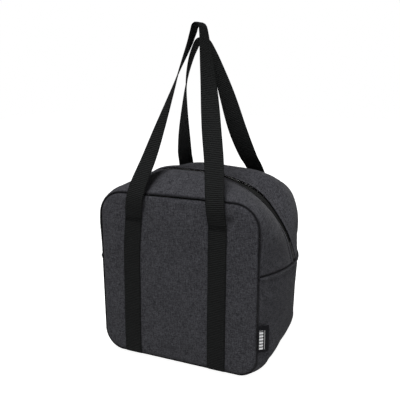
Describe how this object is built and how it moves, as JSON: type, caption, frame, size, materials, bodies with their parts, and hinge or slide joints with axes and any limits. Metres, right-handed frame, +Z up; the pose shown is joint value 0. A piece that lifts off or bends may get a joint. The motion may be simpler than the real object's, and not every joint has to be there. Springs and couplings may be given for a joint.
{
  "type": "insulated cooler bag",
  "caption": "Soft charcoal canvas lunch cooler with a zipped top that opens out, foam and foil lined, on two black webbing handles.",
  "frame": {"origin": "centre of the flat base, on the surface the bag stands on", "axes": "+Z up, -Y out of the front panel, +X towards the bag's right side as seen from the front"},
  "size_m": [0.2787, 0.1677, 0.4523],
  "materials": {
    "canvas": "matte heather weave",
    "foam": "closed-cell foam",
    "liner": "satin foil film",
    "binding": "matte woven tape",
    "webbing": "matte ribbed weave",
    "thread": "twisted thread",
    "zip_tape": "matte woven tape",
    "zip_coil": "moulded nylon coil",
    "zip_metal": "satin",
    "label": "satin weave"
  },
  "bodies": {
    "base": {"gusset_lower": "canvas", "gusset_foam_lower": "foam", "liner_tub": "liner", "front_panel_lower": "canvas", "front_foam_lower": "foam", "front_seam_binding_lower": "binding", "front_strap_left_lower": "webbing", "front_strap_right_lower": "webbing", "front_zip_tape_end_right": "zip_tape", "front_zip_coil_end_right": "zip_coil", "front_zip_tape_end_left": "zip_tape", "front_zip_coil_end_left": "zip_coil", "back_panel_lower": "canvas", "back_foam_lower": "foam", "back_seam_binding_lower": "binding", "back_strap_left_lower": "webbing", "back_strap_right_lower": "webbing", "back_zip_tape_end_right": "zip_tape", "back_zip_coil_end_right": "zip_coil", "back_zip_tape_end_left": "zip_tape", "back_zip_coil_end_left": "zip_coil", "side_label": "label"},
    "front_top": {"front_zip_gusset": "canvas", "front_gusset_foam": "foam", "front_liner_upper": "liner", "front_panel_upper": "canvas", "front_foam_upper": "foam", "front_seam_binding_upper": "binding", "front_zip_tape": "zip_tape", "front_zip_coil": "zip_coil", "front_strap_left_upper": "webbing", "front_strap_right_upper": "webbing", "front_bartack_left": "thread", "front_bartack_right": "thread"},
    "back_top": {"back_zip_gusset": "canvas", "back_gusset_foam": "foam", "back_liner_upper": "liner", "back_panel_upper": "canvas", "back_foam_upper": "foam", "back_seam_binding_upper": "binding", "back_zip_tape": "zip_tape", "back_zip_coil": "zip_coil", "back_strap_left_upper": "webbing", "back_strap_right_upper": "webbing", "back_bartack_left": "thread", "back_bartack_right": "thread"},
    "front_handle": {"front_handle": "webbing"},
    "back_handle": {"back_handle": "webbing"},
    "zip_slider": {"zip_slider": "zip_metal"},
    "zip_puller": {"zip_puller": "zip_metal"}
  },
  "joints": [
    {"name": "front_top_opens", "type": "hinge", "parent": "base", "child": "front_top", "pos_m": [0, -0.0835, 0.147], "axis": [1, 0, 0], "range_deg": [0, 28]},
    {"name": "back_top_opens", "type": "hinge", "parent": "base", "child": "back_top", "pos_m": [0, 0.0835, 0.147], "axis": [-1, 0, 0], "range_deg": [0, 28]},
    {"name": "front_handle_drops", "type": "hinge", "parent": "front_top", "child": "front_handle", "pos_m": [0, -0.0832, 0.203], "axis": [1, 0, 0], "range_deg": [0, 160]},
    {"name": "back_handle_drops", "type": "hinge", "parent": "back_top", "child": "back_handle", "pos_m": [0, 0.0832, 0.203], "axis": [-1, 0, 0], "range_deg": [0, 160]},
    {"name": "slider_travels", "type": "hinge", "parent": "base", "child": "zip_slider", "pos_m": [0, 0, 0.11279], "axis": [0, 1, 0], "range_deg": [0, 144]},
    {"name": "puller_swings", "type": "hinge", "parent": "zip_slider", "child": "zip_puller", "pos_m": [-0.13734, 0, 0.15742], "axis": [0, 1, 0], "range_deg": [0, 196]}
  ]
}
